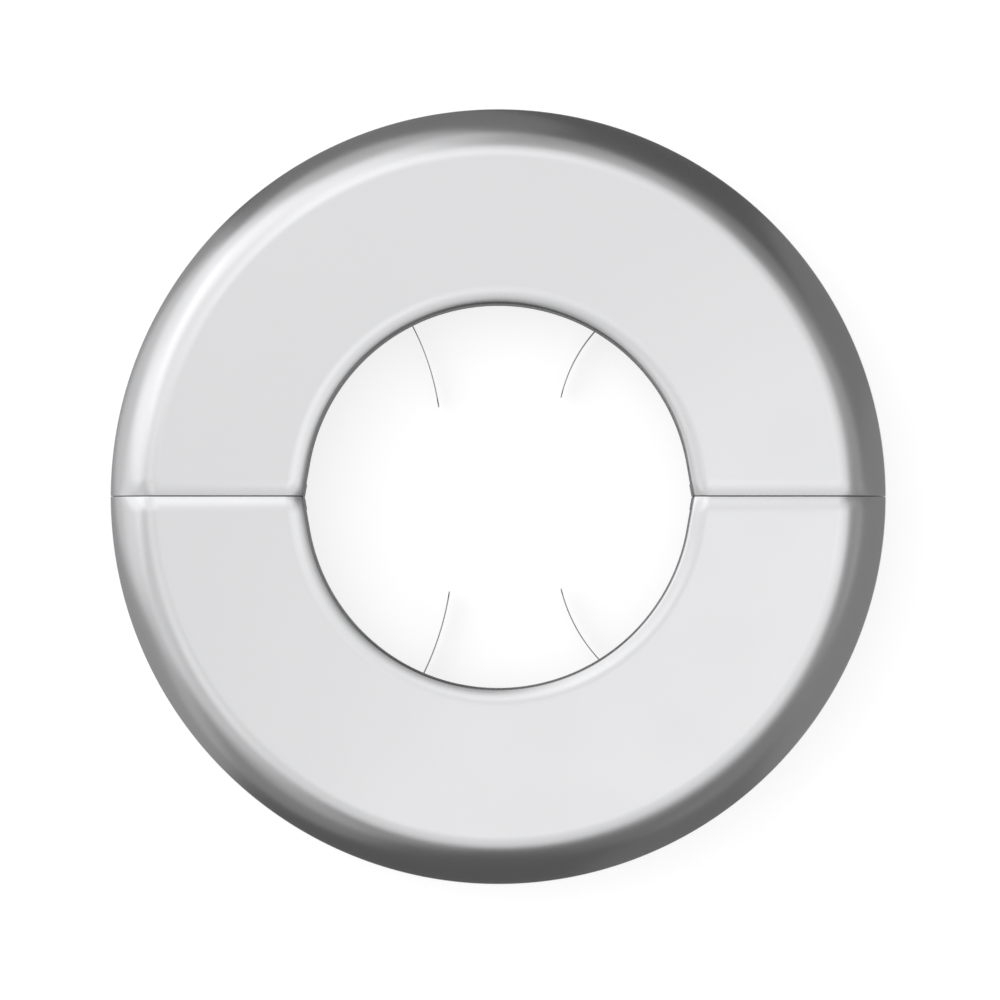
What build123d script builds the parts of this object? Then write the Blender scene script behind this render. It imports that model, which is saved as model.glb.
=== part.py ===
"""Split pipe rosette: two chromed half shells that plug together round a pipe, and four spring leaves.

The origin is on the pipe's axis in the plane of the wall. +Z points out of the wall, +X runs along the seam
and +Y points into the upper half. All sizes are in millimetres.
"""

import math
import os

from build123d import *

# Outline
OUTER_RADIUS = 51.0
BORE_RADIUS = 25.25
HEIGHT = 12.0

# Rim: an arc that leaves the flat face level, then a small round into the straight skirt
RIM_WIDTH = 6.5
RIM_ANGLE = 38.0
RIM_EDGE_RADIUS = 0.25
INNER_RIM_ANGLE = 26.0
INNER_RIM_EDGE_RADIUS = 0.5

# Walls
SKIRT_WALL = 1.8
PLATE = 1.8
COLLAR_WALL = 1.5
COLLAR_BOTTOM = 5.4
SEAM_WALL = 1.6
SEAM_WALL_BOTTOM = 2.5

# Bore edge: a shallow roll on the face, then a small round down to the bore's crisp edge
BORE_ROLL_WIDTH = 2.0
BORE_ROLL_ANGLE = 12.0
BORE_EDGE_RADIUS = 0.6
BORE_EDGE_ANGLE = 50.0
BORE_STRAIGHT_ANGLE = 10.0

# Seam between the halves
SEAM_GAP = 0.1
SEAM_ROLL_WIDTH = 2.2
SEAM_ROLL_DROP = 0.16
SEAM_EDGE_RADIUS = 0.06

# Stiffening ribs behind the face, at these angles in the upper half and mirrored in the lower
RIB_THICKNESS = 1.2
RIB_BOTTOM = 6.4
RIB_FIRST_ANGLE = 30.0
RIB_LAST_ANGLE = 150.0
RIB_COUNT = 3

# Flat tongues of the upper half and their sockets in the lower half
TONGUE_X = 38.0
TONGUE_WIDTH = 9.0
TONGUE_THICKNESS = 2.2
TONGUE_REACH = 8.0
TONGUE_BOTTOM = 6.0
TONGUE_ROOT = 6.0
TONGUE_LEAD = 0.8
SOCKET_CLEARANCE = 0.15
SOCKET_WALL = 1.4
SOCKET_EXTRA_DEPTH = 1.0

# Spring leaves
STRIP_THICKNESS = 0.15
LEAF_BOTTOM = 1.2
LEAF_TOP = 5.0
LEAF_TIP_RADIUS = 1.3
LEAF_ROOT_LENGTH = 3.4
EYE_WRAP = 320.0

# Each leaf: its angle on the bore, its lean from the inward radius, its bow and its length in the bore
UPPER_LEFT_ANGLE = 116.6
UPPER_LEFT_LEAN = 0.7
UPPER_LEFT_BOW_RADIUS = 33.9
UPPER_LEFT_LENGTH = 11.25
UPPER_RIGHT_ANGLE = 59.8
UPPER_RIGHT_LEAN = 11.1
UPPER_RIGHT_BOW_RADIUS = 19.45
UPPER_RIGHT_LENGTH = 9.8
LOWER_LEFT_ANGLE = 247.1
LOWER_LEFT_LEAN = 3.1
LOWER_LEFT_BOW_RADIUS = 37.4
LOWER_LEFT_LENGTH = 11.3
LOWER_RIGHT_ANGLE = 301.8
LOWER_RIGHT_LEAN = 11.1
LOWER_RIGHT_BOW_RADIUS = 20.75
LOWER_RIGHT_LENGTH = 10.7

# Staked pins that carry the leaves' eyes
PIN_RADIUS = 1.0
PIN_CLEARANCE = 0.05
LEAF_END_CLEARANCE = 0.12
BOSS_RADIUS = 1.9
STAKE_RADIUS = 1.5
STAKE_HEIGHT = 0.6

LEAVES = {
    "upper_left_leaf": (UPPER_LEFT_ANGLE, UPPER_LEFT_LEAN, UPPER_LEFT_BOW_RADIUS, UPPER_LEFT_LENGTH),
    "upper_right_leaf": (UPPER_RIGHT_ANGLE, UPPER_RIGHT_LEAN, UPPER_RIGHT_BOW_RADIUS, UPPER_RIGHT_LENGTH),
    "lower_left_leaf": (LOWER_LEFT_ANGLE, LOWER_LEFT_LEAN, LOWER_LEFT_BOW_RADIUS, LOWER_LEFT_LENGTH),
    "lower_right_leaf": (LOWER_RIGHT_ANGLE, LOWER_RIGHT_LEAN, LOWER_RIGHT_BOW_RADIUS, LOWER_RIGHT_LENGTH),
}

# Worked out from the sizes above
PLATE_UNDERSIDE = HEIGHT - PLATE
INNER_RADIUS = OUTER_RADIUS - SKIRT_WALL
COLLAR_RADIUS = BORE_RADIUS + COLLAR_WALL
SEAM_FACE = SEAM_GAP / 2
SEAM_INSIDE = SEAM_FACE + SEAM_WALL
EYE_RADIUS = PIN_RADIUS + PIN_CLEARANCE + STRIP_THICKNESS / 2
STAKE_TOP = LEAF_BOTTOM - LEAF_END_CLEARANCE
BOSS_BOTTOM = LEAF_TOP + LEAF_END_CLEARANCE
CUT_MARGIN = 1.0


def leaf_layout(angle: float, lean: float, bow: float, free: float) -> dict:
    """Place one leaf: the centre of its bow, the bow's start and size in degrees, and its eye.

    The leaf crosses the bore's circle at the given angle, leaning from the inward radius towards the seam's
    normal. It bows with its hollow side away from that normal, and its eye curls the same way.
    """
    side = 1 if math.cos(math.radians(angle)) < 0 else -1
    upward = 1 if math.sin(math.radians(angle)) > 0 else -1
    turn = side * upward
    heading = math.radians(angle + 180 + turn * lean)
    crossing = Vector(BORE_RADIUS, 0, 0).rotate(Axis.Z, angle)
    hollow_side = Vector(math.sin(heading), -math.cos(heading), 0) * turn
    bow_centre = crossing + hollow_side * bow
    start = crossing - bow_centre
    start_angle = math.degrees(math.atan2(start.Y, start.X))
    root_angle = start_angle + turn * math.degrees(LEAF_ROOT_LENGTH / bow)
    root_out = Vector(1, 0, 0).rotate(Axis.Z, root_angle)
    return {
        "turn": turn,
        "bow_centre": bow_centre,
        "root_angle": root_angle,
        "bow_size": -turn * math.degrees((LEAF_ROOT_LENGTH + free) / bow),
        "eye_centre": bow_centre + root_out * (bow - EYE_RADIUS),
    }


LAYOUTS = {name: leaf_layout(*sizes) for name, sizes in LEAVES.items()}


def bore_outline(radius: float) -> Sketch:
    """Draw the bore of the upper half: an arc whose ends run straight on to the seam, closed below it."""
    tangent_x = radius * math.cos(math.radians(BORE_STRAIGHT_ANGLE))
    tangent_y = radius * math.sin(math.radians(BORE_STRAIGHT_ANGLE))
    seam_x = radius / math.cos(math.radians(BORE_STRAIGHT_ANGLE))
    with BuildSketch() as outline:
        with BuildLine():
            Polyline((-tangent_x, tangent_y), (-seam_x, 0), (-seam_x, -CUT_MARGIN), (seam_x, -CUT_MARGIN),
                     (seam_x, 0), (tangent_x, tangent_y))
            ThreePointArc((tangent_x, tangent_y), (0, radius), (-tangent_x, tangent_y))
        make_face()
    return outline.sketch


def dish_section(
    radius: float, top: float, rim_width: float, angle: float, edge: float, bottom: float
) -> Sketch:
    """Draw half of a flat dish's section: flat top, rim arc down to the given angle, edge round and skirt."""
    slope = math.radians(angle)
    arc_width = rim_width - edge * (1 - math.sin(slope))
    arc_end = (radius - rim_width + arc_width, top - arc_width * math.tan(slope / 2))
    skirt_top = (radius, arc_end[1] - edge * math.cos(slope))
    with BuildSketch() as section:
        with BuildLine():
            TangentArc((radius - rim_width, top), arc_end, tangent=(1, 0))
            TangentArc(arc_end, skirt_top, tangent=(math.cos(slope), -math.sin(slope)))
            Polyline(skirt_top, (radius, bottom), (0, bottom), (0, top), (radius - rim_width, top))
        make_face()
    return section.sketch


def staked_pins(half: str) -> Part:
    """Make the pins of one half: a boss behind the face, the pin in the leaf's eye and its flat head."""
    centres = [layout["eye_centre"] for name, layout in LAYOUTS.items() if name.startswith(half)]
    with BuildPart() as pins:
        for radius, low, high in (
            (BOSS_RADIUS, BOSS_BOTTOM, PLATE_UNDERSIDE),
            (PIN_RADIUS, STAKE_TOP, BOSS_BOTTOM),
            (STAKE_RADIUS, STAKE_TOP - STAKE_HEIGHT, STAKE_TOP),
        ):
            with BuildSketch(Plane.XY.offset(low)):
                with Locations(*centres):
                    Circle(radius)
            extrude(amount=high - low)
    return pins.part


def bore_edge_waste() -> Part:
    """Make what the roll and the round take off the bore's edge, carried along it from seam to seam."""
    straight = math.radians(BORE_STRAIGHT_ANGLE)
    outward = Vector(math.cos(straight), math.sin(straight), 0)
    along = Vector(-math.sin(straight), math.cos(straight), 0)
    tangent_point = outward * BORE_RADIUS
    start = tangent_point - along * ((tangent_point.Y + CUT_MARGIN) / along.Y)
    roll, crisp = math.radians(BORE_ROLL_ANGLE), math.radians(BORE_EDGE_ANGLE)
    roll_end = BORE_EDGE_RADIUS * (math.sin(crisp) - math.sin(roll))
    roll_low = HEIGHT - (BORE_ROLL_WIDTH - roll_end) * math.tan(roll / 2)
    edge_low = roll_low - BORE_EDGE_RADIUS * (math.cos(roll) - math.cos(crisp))
    with BuildPart() as waste:
        with BuildLine() as bore_edge:
            Line(start, tangent_point)
            ThreePointArc(tangent_point, (0, BORE_RADIUS), (-tangent_point.X, tangent_point.Y))
            Line((-tangent_point.X, tangent_point.Y), (-start.X, start.Y))
        with BuildSketch(Plane(origin=start, x_dir=outward, z_dir=-along)):
            with BuildLine():
                Polyline((0, edge_low), (-CUT_MARGIN, edge_low), (-CUT_MARGIN, HEIGHT + CUT_MARGIN),
                         (BORE_ROLL_WIDTH, HEIGHT + CUT_MARGIN), (BORE_ROLL_WIDTH, HEIGHT))
                TangentArc((BORE_ROLL_WIDTH, HEIGHT), (roll_end, roll_low), tangent=(-1, 0))
                TangentArc((roll_end, roll_low), (0, edge_low), tangent=(-math.cos(roll), -math.sin(roll)))
            make_face()
        sweep(path=bore_edge.wires()[0])
    return waste.part


# Hollow behind the face of the upper half, clear of the collar and of the seam walls
with BuildPart() as hollow:
    with BuildSketch(Plane.XZ):
        add(dish_section(INNER_RADIUS, PLATE_UNDERSIDE, RIM_WIDTH - SKIRT_WALL, INNER_RIM_ANGLE,
                         INNER_RIM_EDGE_RADIUS, -CUT_MARGIN))
    revolve(axis=Axis.Z, revolution_arc=180)
    with BuildSketch(Plane.XY.offset(COLLAR_BOTTOM)):
        add(bore_outline(COLLAR_RADIUS))
    extrude(amount=HEIGHT, mode=Mode.SUBTRACT)
    with BuildSketch(Plane.XY.offset(SEAM_WALL_BOTTOM)):
        Rectangle(2 * OUTER_RADIUS, SEAM_INSIDE, align=(Align.CENTER, Align.MIN))
    extrude(amount=HEIGHT, mode=Mode.SUBTRACT)

# Half shell as both halves share it, drawn as the upper one
with BuildPart() as half_shell:
    with BuildSketch(Plane.XZ):
        add(dish_section(OUTER_RADIUS, HEIGHT, RIM_WIDTH, RIM_ANGLE, RIM_EDGE_RADIUS, 0))
    revolve(axis=Axis.Z, revolution_arc=180)
    add(hollow.part, mode=Mode.SUBTRACT)

    # bore with its straight ends, then the roll and round of its edge
    with BuildSketch(Plane.XY.offset(-CUT_MARGIN)):
        add(bore_outline(BORE_RADIUS))
    extrude(amount=HEIGHT + 2 * CUT_MARGIN, mode=Mode.SUBTRACT)
    add(bore_edge_waste(), mode=Mode.SUBTRACT)

    # seam: gap, then the roll of the face towards it
    with BuildSketch(Plane.YZ):
        with BuildLine():
            roll_top = HEIGHT - SEAM_ROLL_DROP
            Polyline((SEAM_ROLL_WIDTH, HEIGHT), (SEAM_ROLL_WIDTH, HEIGHT + CUT_MARGIN),
                     (-CUT_MARGIN, HEIGHT + CUT_MARGIN), (-CUT_MARGIN, -CUT_MARGIN),
                     (SEAM_FACE, -CUT_MARGIN), (SEAM_FACE, roll_top - SEAM_EDGE_RADIUS))
            RadiusArc((SEAM_FACE, roll_top - SEAM_EDGE_RADIUS), (SEAM_FACE + SEAM_EDGE_RADIUS, roll_top),
                      SEAM_EDGE_RADIUS)
            TangentArc((SEAM_ROLL_WIDTH, HEIGHT), (SEAM_FACE + SEAM_EDGE_RADIUS, roll_top),
                       tangent=(-1, 0))
        make_face()
    extrude(amount=OUTER_RADIUS + CUT_MARGIN, both=True, mode=Mode.SUBTRACT)

    # ribs from the collar to the skirt
    rib_length = INNER_RADIUS - COLLAR_RADIUS + COLLAR_WALL
    with BuildSketch(Plane.XY.offset(RIB_BOTTOM)):
        with PolarLocations((INNER_RADIUS + COLLAR_RADIUS) / 2, RIB_COUNT, RIB_FIRST_ANGLE,
                            RIB_LAST_ANGLE - RIB_FIRST_ANGLE, endpoint=True):
            Rectangle(rib_length, RIB_THICKNESS)
    extrude(amount=PLATE_UNDERSIDE - RIB_BOTTOM)


# Upper half: shared shell, pins and the two tongues with their roots
with BuildPart() as upper_half_shell:
    add(half_shell.part)
    add(staked_pins("upper"))
    with BuildSketch(Plane.XY.offset(TONGUE_BOTTOM)):
        with Locations((-TONGUE_X, SEAM_FACE), (TONGUE_X, SEAM_FACE)):
            Rectangle(TONGUE_WIDTH, TONGUE_ROOT, align=(Align.CENTER, Align.MIN))
    extrude(amount=PLATE_UNDERSIDE - TONGUE_BOTTOM)
    with BuildSketch(Plane.XY.offset(TONGUE_BOTTOM)):
        with Locations((-TONGUE_X, SEAM_FACE), (TONGUE_X, SEAM_FACE)):
            Rectangle(TONGUE_WIDTH, TONGUE_REACH, align=(Align.CENTER, Align.MAX))
    extrude(amount=TONGUE_THICKNESS)
    tip_faces = upper_half_shell.faces().filter_by(Axis.Y).group_by(Axis.Y)[0]
    chamfer(tip_faces.edges(), TONGUE_LEAD)
upper_half_shell.part.label = "upper_half_shell"

# Lower half: the shared shell mirrored, pins and the two sockets
with BuildPart() as lower_half_shell:
    mirror(half_shell.part, about=Plane.XZ)
    add(staked_pins("lower"))
    socket_low = TONGUE_BOTTOM - SOCKET_CLEARANCE
    socket_width = TONGUE_WIDTH + 2 * SOCKET_CLEARANCE
    with BuildSketch(Plane.XY.offset(socket_low - SOCKET_WALL)):
        with Locations((-TONGUE_X, -SEAM_FACE), (TONGUE_X, -SEAM_FACE)):
            Rectangle(socket_width + 2 * SOCKET_WALL, TONGUE_REACH + SOCKET_EXTRA_DEPTH,
                      align=(Align.CENTER, Align.MAX))
    extrude(amount=PLATE_UNDERSIDE - socket_low + SOCKET_WALL)
    with BuildSketch(Plane.XY.offset(socket_low)):
        with Locations((-TONGUE_X, 0), (TONGUE_X, 0)):
            Rectangle(socket_width, 2 * (TONGUE_REACH + SOCKET_EXTRA_DEPTH + CUT_MARGIN))
    extrude(amount=TONGUE_THICKNESS + 2 * SOCKET_CLEARANCE, mode=Mode.SUBTRACT)
lower_half_shell.part.label = "lower_half_shell"

os.makedirs("parts", exist_ok=True)
export_step(upper_half_shell.part, "parts/upper_half_shell.step")
export_step(lower_half_shell.part, "parts/lower_half_shell.step")

# Spring leaves: a strip bowed from its rounded tip to its root, then curled into an eye round the pin
for leaf_name, layout in LAYOUTS.items():
    bow_radius = LEAVES[leaf_name][2]
    with BuildPart() as leaf:
        with BuildSketch(Plane.XY.offset(LEAF_BOTTOM)):
            with BuildLine():
                CenterArc(layout["bow_centre"], bow_radius, layout["root_angle"], layout["bow_size"])
                CenterArc(layout["eye_centre"], EYE_RADIUS, layout["root_angle"], layout["turn"] * EYE_WRAP)
            trace(line_width=STRIP_THICKNESS)
        extrude(amount=LEAF_TOP - LEAF_BOTTOM)
        tip_angle = layout["root_angle"] + layout["bow_size"]
        tip = layout["bow_centre"] + Vector(bow_radius, 0, 0).rotate(Axis.Z, tip_angle)
        tip_face = leaf.faces().sort_by_distance(tip + Vector(0, 0, (LEAF_BOTTOM + LEAF_TOP) / 2))[0]
        fillet(tip_face.edges().filter_by(Axis.Z, reverse=True), LEAF_TIP_RADIUS)
    leaf.part.label = leaf_name
    export_step(leaf.part, f"parts/{leaf_name}.step")
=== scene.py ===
"""Looks of the split pipe rosette: two chromed half shells, four spring leaves, a studio and a camera."""

from __future__ import annotations

import logging
import math
from dataclasses import dataclass
from enum import Enum

import bmesh
import bpy
import numpy as np
from mathutils import Matrix, Vector

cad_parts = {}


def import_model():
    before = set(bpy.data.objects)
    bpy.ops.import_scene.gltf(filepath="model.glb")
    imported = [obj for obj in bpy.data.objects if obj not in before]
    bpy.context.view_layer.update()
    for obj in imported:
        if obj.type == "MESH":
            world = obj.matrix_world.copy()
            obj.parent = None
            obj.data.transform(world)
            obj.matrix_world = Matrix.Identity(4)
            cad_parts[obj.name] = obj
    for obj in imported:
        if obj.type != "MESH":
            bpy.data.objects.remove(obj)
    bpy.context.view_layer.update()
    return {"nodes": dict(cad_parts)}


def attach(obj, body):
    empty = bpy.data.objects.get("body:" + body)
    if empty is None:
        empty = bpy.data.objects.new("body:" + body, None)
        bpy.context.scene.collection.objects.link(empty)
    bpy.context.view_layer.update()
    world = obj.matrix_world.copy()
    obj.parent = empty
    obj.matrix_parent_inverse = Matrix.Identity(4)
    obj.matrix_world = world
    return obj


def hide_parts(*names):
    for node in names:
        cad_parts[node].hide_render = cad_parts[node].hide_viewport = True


log = logging.getLogger("rosette")
MM = 0.001
DOUBLED_POINT_MM = 0.0001
CARVED_POINT_MM = 0.0002
SHARP_EDGE_ANGLE = 32.0


class Half(Enum):
    """Side of the seam that a half shell lies on, as the sign of its Y."""

    UPPER = 1
    LOWER = -1


@dataclass(frozen=True)
class ShellSizes:
    """Sizes of the half shells, in millimetres and degrees."""

    outer_radius: float = 51.0
    bore_radius: float = 25.25
    height: float = 12.0
    rim_width: float = 6.5
    rim_angle: float = 38.0
    rim_edge_radius: float = 0.25
    inner_rim_angle: float = 26.0
    inner_rim_edge_radius: float = 0.5
    skirt_wall: float = 1.8
    plate: float = 1.8
    collar_wall: float = 1.5
    collar_bottom: float = 5.4
    seam_face: float = 0.03
    seam_inside: float = 1.65
    seam_wall_bottom: float = 2.5
    seam_roll_width: float = 2.2
    seam_roll_drop: float = 0.16
    seam_edge_radius: float = 0.06
    bore_roll_width: float = 2.4
    bore_roll_angle: float = 14.5
    bore_edge_radius: float = 0.6
    bore_edge_angle: float = 50.0
    bore_straight_angle: float = 10.0
    flare_reach: float = 9.0
    flare_fade: float = 8.5
    rib_start: float = 26.2
    rib_half_width: float = 0.6
    rib_bottom: float = 6.4
    rib_angles: tuple[float, ...] = (30.0, 90.0, 150.0)
    overlap: float = 0.3
    cut_past: float = 1.0


@dataclass(frozen=True)
class PinSizes:
    """Sizes of a leaf's pin, in millimetres: flattened head, shank, boss and the boss's foot in the plate."""

    head_radius: float = 1.5
    head_bottom: float = 0.42
    head_top: float = 1.08
    head_break: float = 0.08
    shank_radius: float = 1.0
    boss_radius: float = 1.9
    boss_bottom: float = 5.12
    boss_break: float = 0.1
    foot_radius: float = 2.1
    foot_bottom: float = 9.9
    foot_taper: float = 0.25
    top: float = 10.6

    def outline(self) -> np.ndarray:
        """Draw half of the pin's section from the head to the foot.

        Returns:
            Radius and height of each point.
        """
        head, foot = self.head_radius, self.foot_radius
        return np.array(
            [
                (0.7 * head, self.head_bottom),
                (head - 0.1, self.head_bottom + self.head_break),
                (head, self.head_bottom + 3 * self.head_break),
                (head, self.head_top - self.head_break),
                (head - self.head_break, self.head_top),
                (self.shank_radius, self.head_top),
                (self.shank_radius, self.boss_bottom),
                (self.boss_radius - self.boss_break, self.boss_bottom),
                (self.boss_radius, self.boss_bottom + self.boss_break),
                (self.boss_radius, self.foot_bottom),
                (foot, self.foot_bottom + self.foot_taper),
                (foot, self.top),
            ]
        )


@dataclass(frozen=True)
class PlugSizes:
    """Sizes of the tongues and of the sockets that take them, in millimetres."""

    places: tuple[float, ...] = (-38.0, 38.0)
    tongue_half_width: float = 4.5
    tongue_half_thickness: float = 1.1
    tongue_height: float = 7.1
    tongue_reach: float = 7.95
    tongue_taper: float = 0.8
    root_bottom: float = 6.0
    root_depth: float = 6.05
    clearance: float = 0.15
    sleeve_wall: float = 1.4
    sleeve_depth: float = 9.05
    start: float = 0.5
    top: float = 10.5


@dataclass(frozen=True)
class Section:
    """Closed section of a half ring: one row a point, in millimetres.

    Attributes:
        r: Distance of each row from the bore's axis.
        z: Height of each row above the wall.
        normal_r: Outward part of each row's surface normal.
        normal_z: Upward part of each row's surface normal.
        flare: Share of the bore's flare that each row follows.
        skin: One on the rows whose edge at the seam is rounded, else nought.
    """

    r: np.ndarray
    z: np.ndarray
    normal_r: np.ndarray
    normal_z: np.ndarray
    flare: np.ndarray
    skin: np.ndarray

    @staticmethod
    def plain(points: list[tuple[float, float]], flare: list[float]) -> Section:
        """Make a section with no rounded edge.

        Args:
            points: Distance from the axis and height of each row.
            flare: Share of the bore's flare that each row follows.

        Returns:
            The section.
        """
        r, z = np.array(points, float).T
        none = np.zeros_like(r)
        return Section(r, z, none, none, np.array(flare, float), none)


def smooth_step(value: np.ndarray) -> np.ndarray:
    """Rise smoothly from nought to one: 3t^2 - 2t^3 with t held between nought and one.

    Args:
        value: The parameter t.

    Returns:
        The risen values.
    """
    held = np.clip(value, 0.0, 1.0)
    return held * held * (3.0 - 2.0 * held)


def mesh_of(name: str, rings: np.ndarray) -> bpy.types.Mesh:
    """Skin a row of closed rings with quads and close both ends.

    Args:
        name: Name of the mesh.
        rings: Points in millimetres, as rings by points by three.

    Returns:
        A closed mesh in metres with its normals outwards.
    """
    count, size = rings.shape[:2]
    index = np.arange(count * size).reshape(count, size)
    onward = np.roll(index, -1, axis=1)
    quads = np.stack([index[:-1], onward[:-1], onward[1:], index[1:]], axis=-1).reshape(-1, 4)
    mesh = bpy.data.meshes.new(name)
    faces = [*quads.tolist(), index[0].tolist(), index[-1].tolist()]
    mesh.from_pydata((rings.reshape(-1, 3) * MM).tolist(), [], faces)
    work = bmesh.new()
    work.from_mesh(mesh)
    bmesh.ops.remove_doubles(work, verts=work.verts, dist=DOUBLED_POINT_MM * MM)
    bmesh.ops.recalc_face_normals(work, faces=work.faces)
    work.to_mesh(mesh)
    work.free()
    return mesh


def mend(mesh: bpy.types.Mesh) -> None:
    """Merge doubled points, take out faces with no area and close the faces that carving dropped.

    Args:
        mesh: Mesh in metres, changed in place.
    """
    work = bmesh.new()
    work.from_mesh(mesh)
    bmesh.ops.remove_doubles(work, verts=work.verts, dist=CARVED_POINT_MM * MM)
    bmesh.ops.dissolve_degenerate(work, edges=work.edges, dist=CARVED_POINT_MM * MM)
    open_edges = [edge for edge in work.edges if edge.is_boundary]
    bmesh.ops.holes_fill(work, edges=open_edges, sides=0)
    bmesh.ops.recalc_face_normals(work, faces=work.faces)
    work.to_mesh(mesh)
    work.free()


def block(low: tuple[float, float, float], high: tuple[float, float, float]) -> np.ndarray:
    """Make the two rings of a box.

    Args:
        low: Lowest corner in millimetres.
        high: Highest corner in millimetres.

    Returns:
        Two rings of four points, at the lowest and the highest Y.
    """
    x = np.array([low[0], high[0], high[0], low[0]])
    z = np.array([low[2], low[2], high[2], high[2]])
    y = np.array([low[1], high[1]])[:, None]
    return np.stack(np.broadcast_arrays(x, y, z), axis=-1)


def turned(rings: np.ndarray, angle: float) -> np.ndarray:
    """Turn points about the bore's axis.

    Args:
        rings: Points in millimetres.
        angle: Turn in degrees.

    Returns:
        The turned points.
    """
    cosine, sine = math.cos(math.radians(angle)), math.sin(math.radians(angle))
    return rings @ np.array([[cosine, sine, 0.0], [-sine, cosine, 0.0], [0.0, 0.0, 1.0]])


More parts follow.
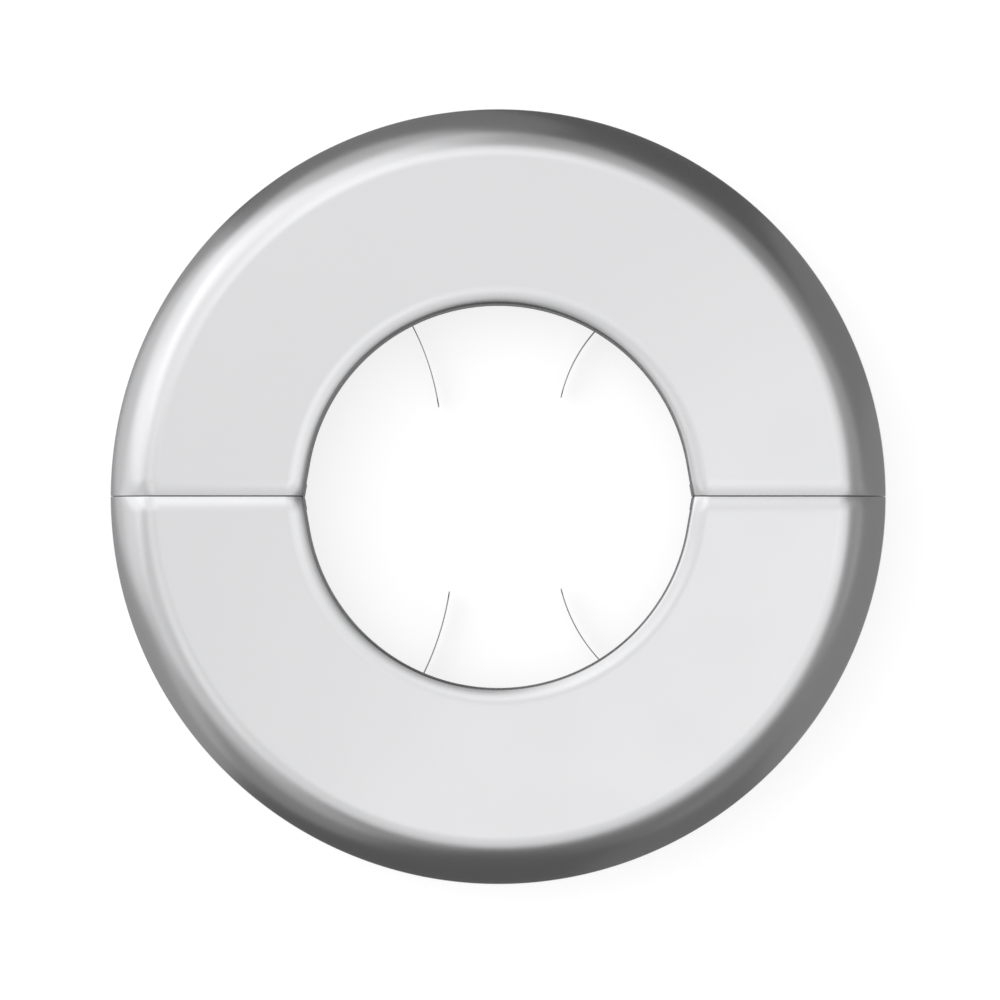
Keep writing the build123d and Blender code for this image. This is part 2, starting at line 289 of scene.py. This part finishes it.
@dataclass
class HalfShell:
    """One half of the rosette, carved from a half ring as the mould shapes it.

    Attributes:
        half: Side of the seam.
        pins: Places of the leaves' pins in X and Y, in millimetres.
        sizes: Sizes of the shell.
        pin: Sizes of each pin.
        plug: Sizes of the tongues and sockets.
    """

    half: Half
    pins: tuple[tuple[float, float], ...]
    sizes: ShellSizes = ShellSizes()
    pin: PinSizes = PinSizes()
    plug: PlugSizes = PlugSizes()

    @property
    def name(self) -> str:
        """Name of the CAD node that this shell stands for."""
        return f"{self.half.name.lower()}_half_shell"

    def skin_section(self) -> Section:
        """Draw the outer section: skirt, rim, flat face, bore roll, bore round, bore wall and back.

        Each curved stretch is an arc given by its slope: from a level start it runs R sin t along and
        R (1 - cos t) down. The rim arc leaves the face level and ends at the rim's angle, where a small round
        takes over and ends upright. The bore's roll and round do the same, but the round stops at the bore's
        crisp edge.

        Returns:
            The closed section.
        """
        s = self.sizes
        inner = s.outer_radius - s.rim_width
        slope = math.radians(s.rim_angle)
        arc_width = s.rim_width - s.rim_edge_radius * (1 - math.sin(slope))
        arc_radius = arc_width / math.sin(slope)
        arc_end_z = s.height - arc_radius * (1 - math.cos(slope))
        centre_z = arc_end_z - s.rim_edge_radius * math.cos(slope)
        skirt_z = centre_z * np.array([0.0, 0.02, 0.15, 0.35, 0.55, 0.75, 0.9, 0.98])
        t = np.linspace(math.pi / 2, slope, 12)
        u = np.linspace(slope, 0.0, 40)[1:]
        roll_start = s.bore_radius + s.bore_roll_width
        ease = np.linspace(0.0, 1.0, 26)[1:-1]
        face_r = inner + (roll_start - inner) * (ease - np.sin(2 * math.pi * ease) / (2 * math.pi))
        roll, crisp = math.radians(s.bore_roll_angle), math.radians(s.bore_edge_angle)
        roll_end = s.bore_radius + s.bore_edge_radius * (math.sin(crisp) - math.sin(roll))
        roll_radius = (roll_start - roll_end) / math.sin(roll)
        round_z = s.height - roll_radius * (1 - math.cos(roll)) - s.bore_edge_radius * math.cos(roll)
        v = np.linspace(0.0, roll, 16)
        w = np.linspace(roll, crisp, 12)[1:]
        edge_z = round_z + s.bore_edge_radius * math.cos(crisp)
        wall_z = edge_z * np.array([0.995, 0.96, 0.85, 0.7, 0.55, 0.4, 0.2, 0.03, 0.0])
        back_r = np.linspace(s.bore_radius, s.outer_radius, 12)[1:-1]
        stretches = [
            (np.full(skirt_z.size, s.outer_radius), skirt_z, np.full(skirt_z.size, math.pi / 2)),
            (
                s.outer_radius - s.rim_edge_radius * (1 - np.sin(t)),
                centre_z + s.rim_edge_radius * np.cos(t),
                t,
            ),
            (inner + arc_radius * np.sin(u), s.height - arc_radius * (1 - np.cos(u)), u),
            (face_r, np.full(face_r.size, s.height), np.zeros(face_r.size)),
            (roll_start - roll_radius * np.sin(v), s.height - roll_radius * (1 - np.cos(v)), -v),
            (
                s.bore_radius + s.bore_edge_radius * (math.sin(crisp) - np.sin(w)),
                round_z + s.bore_edge_radius * np.cos(w),
                -w,
            ),
            (np.full(wall_z.size, s.bore_radius), wall_z, np.full(wall_z.size, -math.pi / 2)),
            (back_r, np.zeros(back_r.size), np.zeros(back_r.size)),
        ]
        r, z, tilt = (np.concatenate(rows) for rows in zip(*stretches))
        flare = smooth_step((s.bore_radius + s.flare_reach - r) / s.flare_fade)
        skin = np.ones(r.size)
        skin[-back_r.size :] = 0.0
        return Section(r, z, np.sin(tilt), np.cos(tilt), flare, skin)

    def half_ring(self, section: Section, start: float, middle: int = 160) -> np.ndarray:
        """Carry a section round the bore from seam to seam.

        Near a seam each column keeps its distance y from it, so x = sqrt(r^2 - y^2), and between the seams
        the columns share the angle evenly. Near a seam the bore's rows follow
        r = R / cos(straight angle - angle). The face drops towards the seam as the square of the way across
        the roll, and the last columns turn over the edge's round: y = start + e (1 - cos p), with a depth of
        e (sin last - sin p) along the surface normal.

        Args:
            section: Rows of the closed section.
            start: Distance of the ends from the seam's plane.
            middle: Columns between the parts near the seams.

        Returns:
            Rings by rows by three, in millimetres.
        """
        s = self.sizes
        reach = 4.0
        edge_columns, flat_columns, crowding = 8, 26, 1.25
        fade_drop, fade_height = 1.6, 1.4
        row = {field: rows[:, None] for field, rows in vars(section).items()}
        faded = smooth_step((row["z"] - s.height + fade_drop) / fade_height)
        roll = row["skin"] * faded * (row["normal_z"] > 0.01)
        edge = s.seam_edge_radius * row["skin"]
        slope = np.arctan(2 * s.seam_roll_drop / (s.seam_roll_width - s.seam_face)) * roll
        last = math.pi / 2 - slope
        p = last * np.linspace(0.0, 1.0, edge_columns)
        over_y = start + edge * (1 - np.cos(p))
        over_depth = edge * (np.sin(last) - np.sin(p))
        away = np.linspace(0.0, 1.0, flat_columns + 1)[1:] ** crowding
        flat_y = over_y[:, -1:] + (reach - over_y[:, -1:]) * away
        near_y = np.concatenate([over_y, flat_y], axis=1)
        near_depth = np.concatenate([over_depth, np.zeros_like(flat_y)], axis=1)
        near_angle = np.arcsin(near_y / row["r"])
        span = np.linspace(0.0, 1.0, middle + 2)[1:-1]
        wide_angle = near_angle[:, -1:] + (math.pi - 2 * near_angle[:, -1:]) * span
        angle = np.concatenate([near_angle, wide_angle, math.pi - near_angle[:, ::-1]], axis=1)
        depth = np.concatenate([near_depth, np.zeros_like(wide_angle), near_depth[:, ::-1]], axis=1)
        from_seam = np.minimum(angle, math.pi - angle)
        lag = np.maximum(math.radians(s.bore_straight_angle) - from_seam, 0.0)
        r = row["r"] + row["flare"] * s.bore_radius * (1 / np.cos(lag) - 1) - row["normal_r"] * depth
        wide_y = row["r"] * np.sin(wide_angle)
        y = np.concatenate([near_y, wide_y, near_y[:, ::-1]], axis=1)
        across = np.clip((s.seam_roll_width - y) / (s.seam_roll_width - over_y[:, -1:]), 0.0, 1.0)
        z = row["z"] - row["normal_z"] * depth - roll * s.seam_roll_drop * across**2
        count = near_y.shape[1]
        y[:, count:-count] = r[:, count:-count] * np.sin(wide_angle)
        x = np.sqrt(r**2 - y**2) * np.sign(np.cos(angle))
        return np.stack([x, y, z], axis=-1).transpose(1, 0, 2)

    def pin_rings(self, place: tuple[float, float]) -> np.ndarray:
        """Turn a pin's outline about its own axis: flattened head, shank and boss.

        Args:
            place: X and Y of the pin.

        Returns:
            Rings by points by three, in millimetres.
        """
        outline = self.pin.outline()
        turn = np.linspace(0.0, 2 * math.pi, 40, endpoint=False)
        radius, height = outline[:, :1], outline[:, 1:]
        x, y = place[0] + radius * np.cos(turn), place[1] + radius * np.sin(turn)
        return np.stack(np.broadcast_arrays(x, y, height), axis=-1)

    def joined(self, name: str, parts: list[np.ndarray]) -> bpy.types.Object:
        """Make one tool of several bodies that don't touch.

        Args:
            name: Name of the tool.
            parts: Rings of each body, drawn as in the upper half.

        Returns:
            The tool, on this shell's side of the seam.
        """
        side = np.array([1.0, self.half.value, 1.0])
        work = bmesh.new()
        for rings in parts:
            mesh = mesh_of(name, rings * side)
            work.from_mesh(mesh)
            bpy.data.meshes.remove(mesh)
        whole = bpy.data.meshes.new(name)
        work.to_mesh(whole)
        work.free()
        tool = bpy.data.objects.new(name, whole)
        bpy.context.collection.objects.link(tool)
        return tool

    def steps(self) -> list[tuple[str, str, list[np.ndarray]]]:
        """List what is cut from the half ring and what is added to it, in order.

        Returns:
            Kind of step, name and bodies of each.
        """
        s = self.sizes
        under = s.height - s.plate
        collar = s.bore_radius + s.collar_wall
        inside = s.outer_radius - s.skirt_wall
        slope = math.radians(s.inner_rim_angle)
        arc_width = s.rim_width - s.skirt_wall - s.inner_rim_edge_radius * (1 - math.sin(slope))
        t, u = np.linspace(0.0, slope, 16), np.linspace(slope, math.pi / 2, 8)[1:]
        arc_r = s.outer_radius - s.rim_width + arc_width * np.sin(t) / math.sin(slope)
        arc_z = under - arc_width * (1 - np.cos(t)) / math.sin(slope)
        rim_r = np.append(arc_r, inside - s.inner_rim_edge_radius * (1 - np.sin(u)))
        rim_z = np.append(arc_z, arc_z[-1] - s.inner_rim_edge_radius * (math.cos(slope) - np.cos(u)))
        past = s.cut_past
        hollow = [(collar, -past), (collar, under), *zip(rim_r.tolist(), rim_z.tolist()), (inside, -past)]
        hollow_flare = [1.0, 1.0] + [0.0] * (len(hollow) - 2)
        hollow_ring = self.half_ring(Section.plain(hollow, hollow_flare), s.seam_inside, 120)
        within, beyond, foot_z = 15.0, collar + 0.2, s.collar_bottom
        foot = [(within, -past), (within, foot_z), (beyond, foot_z), (beyond, -past)]
        foot_ring = self.half_ring(Section.plain(foot, [0.0] * len(foot)), s.seam_inside + 0.01, 120)
        slot, slot_y, slot_z = inside - 0.05, 2.0, s.seam_wall_bottom
        seam_feet = [
            block((-slot, -past, -past), (-within, slot_y, slot_z)),
            block((within, -past, -past), (slot, slot_y, slot_z)),
        ]
        rib = block(
            (s.rib_start, -s.rib_half_width, s.rib_bottom),
            (inside + s.overlap, s.rib_half_width, under + s.overlap),
        )
        found = [
            ("DIFFERENCE", "hollow", [hollow_ring]),
            ("DIFFERENCE", "collar_foot", [foot_ring]),
            ("DIFFERENCE", "seam_foot", seam_feet),
            ("UNION", "ribs", [turned(rib, angle) for angle in s.rib_angles]),
            ("UNION", "pins", [self.pin_rings((x, y * self.half.value)) for x, y in self.pins]),
        ]
        return found + (self.tongues() if self.half is Half.UPPER else self.sockets())

    def tongues(self) -> list[tuple[str, str, list[np.ndarray]]]:
        """List the tongues of the upper half: a root behind the seam and a flat tongue with a tapered tip.

        Returns:
            Kind of step, name and bodies of each.
        """
        p = self.plug
        wide = p.tongue_half_width
        roots = [block((x - wide, p.start, p.root_bottom), (x + wide, p.root_depth, p.top)) for x in p.places]
        y = np.array([2 * p.start, p.tongue_taper - p.tongue_reach, -p.tongue_reach])[:, None]
        inset = np.array([0.0, 0.0, p.tongue_taper])[:, None]
        side = np.array([-1.0, 1.0, 1.0, -1.0]) * (wide - inset)
        level = p.tongue_height + np.array([-1.0, -1.0, 1.0, 1.0]) * (p.tongue_half_thickness - inset)
        blades = [np.stack(np.broadcast_arrays(x + side, y, level), axis=-1) for x in p.places]
        return [("UNION", "tongue_roots", roots), ("UNION", "tongues", blades)]

    def sockets(self) -> list[tuple[str, str, list[np.ndarray]]]:
        """List the sockets of the lower half: a sleeve behind the seam and the slot through it.

        Returns:
            Kind of step, name and bodies of each.
        """
        p = self.plug
        slot_half = p.tongue_half_width + p.clearance
        slot_low = p.tongue_height - p.tongue_half_thickness - p.clearance
        slot_high = p.tongue_height + p.tongue_half_thickness + p.clearance
        past = self.sizes.cut_past
        end = p.sleeve_depth + past
        wide, low = slot_half + p.sleeve_wall, slot_low - p.sleeve_wall
        sleeves = [block((x - wide, p.start, low), (x + wide, p.sleeve_depth, p.top)) for x in p.places]
        slots = [block((x - slot_half, -past, slot_low), (x + slot_half, end, slot_high)) for x in p.places]
        return [("UNION", "socket_sleeves", sleeves), ("DIFFERENCE", "socket_slots", slots)]

    def plastic_shade_faces(self, mesh: bpy.types.Mesh) -> np.ndarray:
        """Find the faces that take the dark plastic with its painted shade: all but the outer skin and the
        seam faces.

        Args:
            mesh: Mesh of the carved shell.

        Returns:
            One for each of these faces, else nought.
        """
        s = self.sizes
        centre, normal = np.empty(3 * len(mesh.polygons)), np.empty(3 * len(mesh.polygons))
        mesh.polygons.foreach_get("center", centre)
        mesh.polygons.foreach_get("normal", normal)
        x, y, z = centre.reshape(-1, 3).T / MM
        away = np.hypot(x, y)
        top = (normal.reshape(-1, 3)[:, 2] > 0.5) & (z > s.height - s.rim_width / 2)
        skirt = away > s.outer_radius - s.rim_edge_radius - 0.1
        seam = np.abs(y) < s.seam_face + s.seam_edge_radius
        return (~(top | skirt | (seam & (away > s.bore_radius + 0.5)))).astype(np.int32)

    def build(self, coat: bpy.types.Material, shade_plastic: bpy.types.Material) -> bpy.types.Object:
        """Carve the shell and hang it on its body.

        Args:
            coat: Material of the outer skin.
            shade_plastic: Material of the bore wall and the back, dark grey as painted shade.

        Returns:
            The shell's object.
        """
        blank = self.joined("blank", [self.half_ring(self.skin_section(), self.sizes.seam_face)])
        tools = []
        for kind, name, bodies in self.steps():
            tool = self.joined(name, bodies)
            step = blank.modifiers.new(name, "BOOLEAN")
            step.operation = kind
            step.solver = "EXACT"
            step.object = tool
            tools.append(tool)
        mesh = bpy.data.meshes.new_from_object(blank.evaluated_get(bpy.context.evaluated_depsgraph_get()))
        for tool in (blank, *tools):
            waste = tool.data
            bpy.data.objects.remove(tool)
            bpy.data.meshes.remove(waste)
        mend(mesh)
        mesh.name = f"{self.name}_skin"
        mesh.materials.clear()
        mesh.materials.append(coat)
        mesh.materials.append(shade_plastic)
        mesh.polygons.foreach_set("material_index", self.plastic_shade_faces(mesh))
        mesh.shade_smooth()
        mesh.set_sharp_from_angle(angle=math.radians(SHARP_EDGE_ANGLE))
        shell = bpy.data.objects.new(f"{self.name}_skin", mesh)
        bpy.context.collection.objects.link(shell)
        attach(shell, f"{self.half.name.lower()}_half")
        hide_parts(self.name)
        log.info("built %s with %d faces", shell.name, len(mesh.polygons))
        return shell


UPPER_PINS = ((-13.9571, 24.902), (15.8597, 23.2904))
LOWER_PINS = ((-12.4148, -25.661), (16.5015, -22.8601))


@dataclass(frozen=True)
class ChromePlate:
    """Bright metal coat on moulded plastic, with the faint waviness of the mould and soft handling marks."""

    colour: tuple[float, float, float] = (0.66, 0.66, 0.67)
    roughness: tuple[float, float] = (0.185, 0.225)
    mark_scale: float = 45.0
    wave_scale: float = 260.0
    wave_height: float = 0.0000022

    def material(self) -> bpy.types.Material:
        """Make the finish.

        Returns:
            The chrome material.
        """
        finish = bpy.data.materials.new("chrome_plate")
        finish.use_nodes = True
        nodes, links = finish.node_tree.nodes, finish.node_tree.links
        shader = nodes["Principled BSDF"]
        shader.inputs["Base Color"].default_value = (*self.colour, 1.0)
        shader.inputs["Metallic"].default_value = 1.0
        place = nodes.new("ShaderNodeTexCoord")
        marks = nodes.new("ShaderNodeTexNoise")
        marks.inputs["Scale"].default_value = self.mark_scale
        marks.inputs["Detail"].default_value = 5.0
        spread = nodes.new("ShaderNodeMapRange")
        spread.inputs["From Min"].default_value = 0.3
        spread.inputs["From Max"].default_value = 0.7
        spread.inputs["To Min"].default_value = self.roughness[0]
        spread.inputs["To Max"].default_value = self.roughness[1]
        waves = nodes.new("ShaderNodeTexNoise")
        waves.inputs["Scale"].default_value = self.wave_scale
        waves.inputs["Detail"].default_value = 1.5
        bump = nodes.new("ShaderNodeBump")
        bump.inputs["Distance"].default_value = self.wave_height
        links.new(place.outputs["Object"], marks.inputs["Vector"])
        links.new(place.outputs["Object"], waves.inputs["Vector"])
        links.new(marks.outputs["Fac"], spread.inputs["Value"])
        links.new(spread.outputs["Result"], shader.inputs["Roughness"])
        links.new(waves.outputs["Fac"], bump.inputs["Height"])
        links.new(bump.outputs["Normal"], shader.inputs["Normal"])
        return finish


@dataclass(frozen=True)
class PlasticPaintedShade:
    """Dark grey plastic of the bore wall and the back; its dark colour is painted shade that makes the dark
    band round the bore.
    """

    # Dark colour as painted shade: it darkens the bore wall into the dark band at the bore's edge.
    colour: tuple[float, float, float] = (0.13, 0.13, 0.135)
    roughness: float = 0.55
    grain_scale: float = 2600.0
    grain_height: float = 0.000012

    def material(self) -> bpy.types.Material:
        """Make the finish.

        Returns:
            The plastic's material.
        """
        finish = bpy.data.materials.new("plastic_painted_shade")
        finish.use_nodes = True
        nodes, links = finish.node_tree.nodes, finish.node_tree.links
        shader = nodes["Principled BSDF"]
        shader.inputs["Base Color"].default_value = (*self.colour, 1.0)
        shader.inputs["Metallic"].default_value = 0.0
        shader.inputs["Roughness"].default_value = self.roughness
        place = nodes.new("ShaderNodeTexCoord")
        grain = nodes.new("ShaderNodeTexNoise")
        grain.inputs["Scale"].default_value = self.grain_scale
        grain.inputs["Detail"].default_value = 2.0
        bump = nodes.new("ShaderNodeBump")
        bump.inputs["Distance"].default_value = self.grain_height
        links.new(place.outputs["Object"], grain.inputs["Vector"])
        links.new(grain.outputs["Fac"], bump.inputs["Height"])
        links.new(bump.outputs["Normal"], shader.inputs["Normal"])
        return finish


@dataclass(frozen=True)
class SpringSteel:
    """Bare rolled strip, with roll marks along its length."""

    colour: tuple[float, float, float] = (0.34, 0.34, 0.345)
    roughness: tuple[float, float] = (0.38, 0.52)
    mark_stretch: tuple[float, float, float] = (60.0, 60.0, 6000.0)

    def material(self) -> bpy.types.Material:
        """Make the finish.

        Returns:
            The strip's material.
        """
        finish = bpy.data.materials.new("spring_steel_strip")
        finish.use_nodes = True
        nodes, links = finish.node_tree.nodes, finish.node_tree.links
        shader = nodes["Principled BSDF"]
        shader.inputs["Base Color"].default_value = (*self.colour, 1.0)
        shader.inputs["Metallic"].default_value = 1.0
        place = nodes.new("ShaderNodeTexCoord")
        stretch = nodes.new("ShaderNodeMapping")
        stretch.inputs["Scale"].default_value = self.mark_stretch
        marks = nodes.new("ShaderNodeTexNoise")
        marks.inputs["Scale"].default_value = 1.0
        marks.inputs["Detail"].default_value = 3.0
        spread = nodes.new("ShaderNodeMapRange")
        spread.inputs["From Min"].default_value = 0.3
        spread.inputs["From Max"].default_value = 0.7
        spread.inputs["To Min"].default_value = self.roughness[0]
        spread.inputs["To Max"].default_value = self.roughness[1]
        links.new(place.outputs["Object"], stretch.inputs["Vector"])
        links.new(stretch.outputs["Vector"], marks.inputs["Vector"])
        links.new(marks.outputs["Fac"], spread.inputs["Value"])
        links.new(spread.outputs["Result"], shader.inputs["Roughness"])
        return finish


@dataclass(frozen=True)
class PaleFloor:
    """White floor that takes the shadow; the eye and the metal see it brighter than it lights."""

    colour: tuple[float, float, float] = (0.5, 0.5, 0.5)
    glow: float = 0.78

    def material(self) -> bpy.types.Material:
        """Make the finish.

        Returns:
            The floor's material.
        """
        finish = bpy.data.materials.new("pale_floor")
        finish.use_nodes = True
        tree = finish.node_tree
        tree.nodes.remove(tree.nodes["Principled BSDF"])
        output = tree.nodes["Material Output"]
        paint = tree.nodes.new("ShaderNodeBsdfDiffuse")
        paint.inputs["Color"].default_value = (*self.colour, 1.0)
        light = tree.nodes.new("ShaderNodeEmission")
        path = tree.nodes.new("ShaderNodeLightPath")
        seen = tree.nodes.new("ShaderNodeMath")
        seen.operation = "MAXIMUM"
        strength = tree.nodes.new("ShaderNodeMath")
        strength.operation = "MULTIPLY"
        strength.inputs[1].default_value = self.glow
        both = tree.nodes.new("ShaderNodeAddShader")
        tree.links.new(path.outputs["Is Camera Ray"], seen.inputs[0])
        tree.links.new(path.outputs["Is Glossy Ray"], seen.inputs[1])
        tree.links.new(seen.outputs[0], strength.inputs[0])
        tree.links.new(strength.outputs[0], light.inputs["Strength"])
        tree.links.new(paint.outputs[0], both.inputs[0])
        tree.links.new(light.outputs[0], both.inputs[1])
        tree.links.new(both.outputs[0], output.inputs["Surface"])
        return finish


@dataclass(frozen=True)
class Softbox:
    """One round studio light that faces the rosette."""

    name: str
    tilt: float
    bearing: float
    distance: float
    half_angle: float
    radiance: float

    def build(self) -> bpy.types.Object:
        """Hang the light.

        Returns:
            The light's object.
        """
        lamp = bpy.data.lights.new(self.name, "AREA")
        lamp.shape = "DISK"
        radius = self.distance * math.tan(math.radians(self.half_angle))
        lamp.size = 2 * radius
        lamp.energy = self.radiance * math.pi * math.pi * radius**2
        light = bpy.data.objects.new(self.name, lamp)
        tilt, bearing = math.radians(self.tilt), math.radians(self.bearing)
        light.location = self.distance * Vector(
            (math.sin(tilt) * math.cos(bearing), math.sin(tilt) * math.sin(bearing), math.cos(tilt))
        )
        light.rotation_euler = light.location.to_track_quat("Z", "Y").to_euler()
        bpy.context.collection.objects.link(light)
        return light


SOFTBOXES = (
    Softbox("overhead_core", 3.5, 90.0, 1.4, 12.0, 0.36),
    Softbox("overhead", 0.0, 0.0, 1.6, 22.0, 0.563),
    Softbox("front_right_near", 14.0, 315.0, 1.6, 14.0, 0.338),
    Softbox("right_near", 26.0, 0.0, 1.6, 16.0, 0.21),
    Softbox("back_right_near", 26.0, 45.0, 1.6, 16.0, 0.132),
    Softbox("back_near", 26.0, 90.0, 1.6, 16.0, 0.302),
    Softbox("back_left_near", 26.0, 135.0, 1.6, 16.0, 0.547),
    Softbox("left_near", 26.0, 200.0, 1.6, 14.0, 0.309),
    Softbox("front_left_near", 26.0, 225.0, 1.6, 16.0, 0.215),
    Softbox("front_right", 36.0, 308.0, 1.6, 15.0, 0.082),
    Softbox("back_left", 40.0, 120.0, 1.6, 18.0, 0.348),
    Softbox("left_back", 40.0, 150.0, 1.6, 18.0, 0.411),
    Softbox("left", 40.0, 180.0, 1.6, 18.0, 0.206),
    Softbox("front_left", 44.0, 225.0, 1.6, 18.0, 0.151),
    Softbox("left_low", 52.0, 165.0, 1.6, 24.0, 0.398),
    Softbox("back_fill", 60.0, 110.0, 1.6, 26.0, 0.107),
    Softbox("left_fill", 78.0, 180.0, 1.6, 45.0, 0.265),
    Softbox("right_fill", 78.0, 0.0, 1.6, 45.0, 0.109),
    Softbox("front_right_fill", 78.0, 330.0, 1.6, 45.0, 0.061),
)


@dataclass(frozen=True)
class Studio:
    """Floor, softboxes and grey surroundings."""

    surroundings: float = 0.125
    floor_half: float = 3.0
    softboxes: tuple[Softbox, ...] = SOFTBOXES

    def build(self) -> None:
        """Set up the studio."""
        world = bpy.data.worlds.new("grey_room")
        world.use_nodes = True
        world.node_tree.nodes["Background"].inputs["Color"].default_value = (1.0, 1.0, 1.0, 1.0)
        world.node_tree.nodes["Background"].inputs["Strength"].default_value = self.surroundings
        bpy.context.scene.world = world
        half = self.floor_half
        corners = [(-half, -half, 0), (half, -half, 0), (half, half, 0), (-half, half, 0)]
        mesh = bpy.data.meshes.new("floor")
        mesh.from_pydata(corners, [], [(0, 1, 2, 3)])
        floor = bpy.data.objects.new("floor", mesh)
        floor.location.z = -0.02 * MM
        mesh.materials.append(PaleFloor().material())
        bpy.context.collection.objects.link(floor)
        for softbox in self.softboxes:
            softbox.build()


@dataclass(frozen=True)
class TopCamera:
    """Camera nearly straight above the face, with the seam level."""

    distance: float = 0.8
    frame_width: float = 131.51 * MM
    silhouette_height: float = 9.6 * MM
    aim: tuple[float, float] = (0.245 * MM, -0.487 * MM)
    lean_x: float = 0.1
    lean_y: float = -0.9

    def build(self) -> None:
        """Place the camera."""
        lens = bpy.data.cameras.new("camera")
        camera = bpy.data.objects.new("camera", lens)
        target = Vector((*self.aim, self.silhouette_height))
        lean_x, lean_y = math.radians(self.lean_x), math.radians(self.lean_y)
        away = Vector((math.tan(lean_x), math.tan(lean_y), 1.0)).normalized()
        camera.location = target + away * self.distance
        right = Vector((0.0, 1.0, 0.0)).cross(away).normalized()
        turn = Matrix((right, away.cross(right), away)).transposed()
        camera.rotation_euler = turn.to_euler()
        lens.sensor_width = 36.0
        lens.lens = 36.0 * self.distance / self.frame_width
        lens.clip_start = 0.01
        lens.clip_end = 20.0
        bpy.context.collection.objects.link(camera)
        bpy.context.scene.camera = camera


def main() -> None:
    """Build the scene in order."""
    logging.basicConfig(level=logging.INFO, format="%(message)s")
    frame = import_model()
    bpy.context.scene.view_settings.view_transform = "Standard"
    chrome = ChromePlate().material()
    # Dark plastic for the bore wall and the back; its dark colour is painted shade at the bore.
    plastic = PlasticPaintedShade().material()
    steel = SpringSteel().material()
    HalfShell(Half.UPPER, UPPER_PINS).build(chrome, plastic)
    HalfShell(Half.LOWER, LOWER_PINS).build(chrome, plastic)
    for name, node in frame["nodes"].items():
        if name.endswith("leaf"):
            node.data.materials.clear()
            node.data.materials.append(steel)
            log.info("dressed %s", name)
    Studio().build()
    TopCamera().build()


if __name__ == "__main__":
    main()
